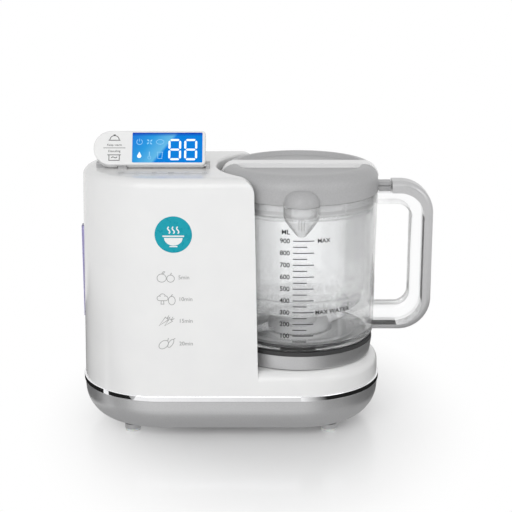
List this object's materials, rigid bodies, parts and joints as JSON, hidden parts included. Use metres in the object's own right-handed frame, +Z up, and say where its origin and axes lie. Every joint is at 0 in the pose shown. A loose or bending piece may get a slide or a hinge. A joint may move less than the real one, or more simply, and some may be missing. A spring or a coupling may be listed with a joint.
{
  "type": "baby food maker",
  "caption": "Countertop baby food maker: white tower with flip-up display, clear blending jug with steaming basket and lid beside it on a low driven deck.",
  "frame": {"origin": "centre of the whole outline, on the plane of the foot pads", "axes": "+X to the right towards the jug handle, +Y to the back, +Z up"},
  "size_m": [0.282, 0.1444, 0.238],
  "materials": {
    "white_gloss": "smooth high gloss",
    "silver_plastic": "satin silver-grey",
    "chrome": "mirror plated",
    "black_rubber": "matt",
    "steel": "brushed",
    "violet_window": "tinted, see-through",
    "clear_plastic": "clear and polished",
    "basket_plastic": "clear, slightly frosted",
    "motor_metal": "plain coat",
    "cast_aluminium": "as cast",
    "black_plastic": "matt",
    "pale_silicone": "translucent matt",
    "green_board": "solder mask",
    "grey_plastic": "satin mid grey",
    "grey_rubber": "matt",
    "screen": "blue lit glass"
  },
  "bodies": {
    "base": {"base_tray": "silver_plastic", "feet": "silver_plastic", "foot_pads": "pale_silicone", "base_screws": "steel", "chrome_band": "chrome", "main_housing": "white_gloss", "water_tank": "clear_plastic", "tank_window": "violet_window", "filler_neck": "white_gloss", "filler_cap_pin": "steel", "motor_bracket": "steel", "motor_can": "motor_metal", "drive_belt": "black_rubber", "drive_bearing": "black_plastic", "boiler_stand": "steel", "boiler": "cast_aluminium", "water_pump": "black_plastic", "feed_hose": "pale_silicone", "pump_hose": "pale_silicone", "steam_hose": "pale_silicone", "steam_nozzle": "black_plastic", "nozzle_seal": "pale_silicone", "control_board": "green_board", "cord_gland": "black_plastic", "touch_panel": "white_gloss", "hinge_block": "grey_plastic", "hinge_pin": "steel"},
    "display": {"display_shell": "white_gloss", "display_frame": "white_gloss", "lcd_panel": "screen"},
    "cap": {"filler_cap": "white_gloss"},
    "rotor": {"motor_shaft": "steel", "motor_fan": "black_plastic", "motor_pulley": "black_plastic"},
    "drive": {"drive_shaft": "steel", "drive_pulley": "black_plastic", "drive_coupling": "black_plastic"},
    "jug": {"jug_body": "clear_plastic", "jug_ring": "silver_plastic", "jug_seal": "black_rubber", "blade_bush": "black_plastic", "jug_handle": "clear_plastic", "handle_cover": "silver_plastic"},
    "blade": {"blade_coupling": "black_plastic", "blade_shaft": "steel", "blade_hub": "grey_plastic", "blades": "steel"},
    "lid": {"lid_shell": "grey_plastic", "lid_bar": "white_gloss", "lid_plug": "grey_plastic", "lid_seal": "grey_rubber", "steam_port": "pale_silicone"},
    "basket": {"basket": "basket_plastic"}
  },
  "joints": [
    {"name": "display_tilt", "type": "hinge", "parent": "base", "child": "display", "pos_m": [-0.072, -0.018, 0.2126], "axis": [-1, 0, 0], "range_deg": [0, 60]},
    {"name": "cap_flip", "type": "hinge", "parent": "base", "child": "cap", "pos_m": [-0.1, 0.0415, 0.2125], "axis": [-1, 0, 0], "range_deg": [0, 100]},
    {"name": "jug_lift", "type": "slide", "parent": "base", "child": "jug", "axis": [0, 0, 1], "range_m": [0, 0.2]},
    {"name": "lid_lift", "type": "slide", "parent": "jug", "child": "lid", "axis": [0, 0, 1], "range_m": [0, 0.23]},
    {"name": "basket_lift", "type": "slide", "parent": "jug", "child": "basket", "axis": [0, 0, 1], "range_m": [0, 0.115]},
    {"name": "drive_spin", "type": "hinge", "parent": "base", "child": "drive", "pos_m": [0.0345, 0, 0.04], "axis": [0, 0, 1], "continuous": true},
    {"name": "motor_spin", "type": "hinge", "parent": "base", "child": "rotor", "pos_m": [-0.06, 0, 0.06], "axis": [0, 0, 1], "continuous": true},
    {"name": "blade_spin", "type": "hinge", "parent": "jug", "child": "blade", "pos_m": [0.0345, 0, 0.08], "axis": [0, 0, 1], "continuous": true}
  ],
  "couplings": [
    {"joint": "motor_spin", "follows": "drive_spin", "ratio": 4},
    {"joint": "blade_spin", "follows": "drive_spin", "ratio": 1},
    {"joint": "basket_lift", "follows": "lid_lift", "ratio": 0.5}
  ]
}
